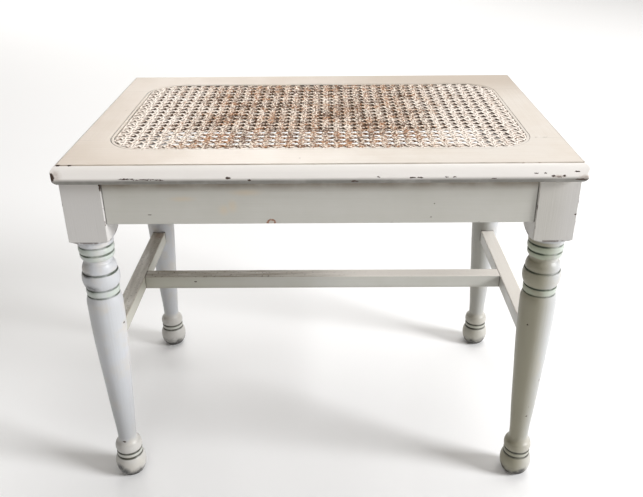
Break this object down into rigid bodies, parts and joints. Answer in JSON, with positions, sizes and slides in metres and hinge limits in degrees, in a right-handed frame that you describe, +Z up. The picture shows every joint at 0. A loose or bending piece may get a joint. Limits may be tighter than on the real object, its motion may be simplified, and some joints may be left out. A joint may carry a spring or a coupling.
{
  "type": "piano bench",
  "caption": "Painted wooden piano bench with a cane-webbed seat frame, plain aprons, turned tapering legs on ball feet and an H stretcher.",
  "frame": {"origin": "on the floor under the middle of the seat", "axes": "+X to the right along the seat's length, +Y to the back, +Z up"},
  "size_m": [0.635, 0.43, 0.508],
  "materials": {
    "painted_seat": "warm cream brushed paint, satin, chipped to dark wood at the edges",
    "painted_aprons": "cream paint, satin, slightly soiled",
    "painted_legs": "off-white paint, satin, with dark green glaze left in the turned grooves and black wear under the feet",
    "painted_stretchers": "cream paint, satin, scuffed and soiled on top",
    "painted_cane": "rattan cane painted off-white, the paint worn away to brown cane in the middle",
    "painted_spline": "cream paint, satin",
    "bare_wood": "unpainted hardwood",
    "screw_steel": "dull plain steel"
  },
  "bodies": {
    "root": {"apron_back": "painted_aprons", "apron_dowels": "bare_wood", "apron_front": "painted_aprons", "apron_left": "painted_aprons", "apron_right": "painted_aprons", "brace_screws": "screw_steel", "cane_spline": "painted_spline", "cane_webbing": "painted_cane", "corner_brace_back_left": "bare_wood", "corner_brace_back_right": "bare_wood", "corner_brace_front_left": "bare_wood", "corner_brace_front_right": "bare_wood", "leg_back_left": "painted_legs", "leg_back_right": "painted_legs", "leg_front_left": "painted_legs", "leg_front_right": "painted_legs", "seat_dowels": "bare_wood", "seat_end_left": "painted_seat", "seat_end_right": "painted_seat", "seat_rail_back": "painted_seat", "seat_rail_front": "painted_seat", "seat_screws": "screw_steel", "stretcher_centre": "painted_stretchers", "stretcher_left": "painted_stretchers", "stretcher_right": "painted_stretchers"}
  },
  "joints": []
}
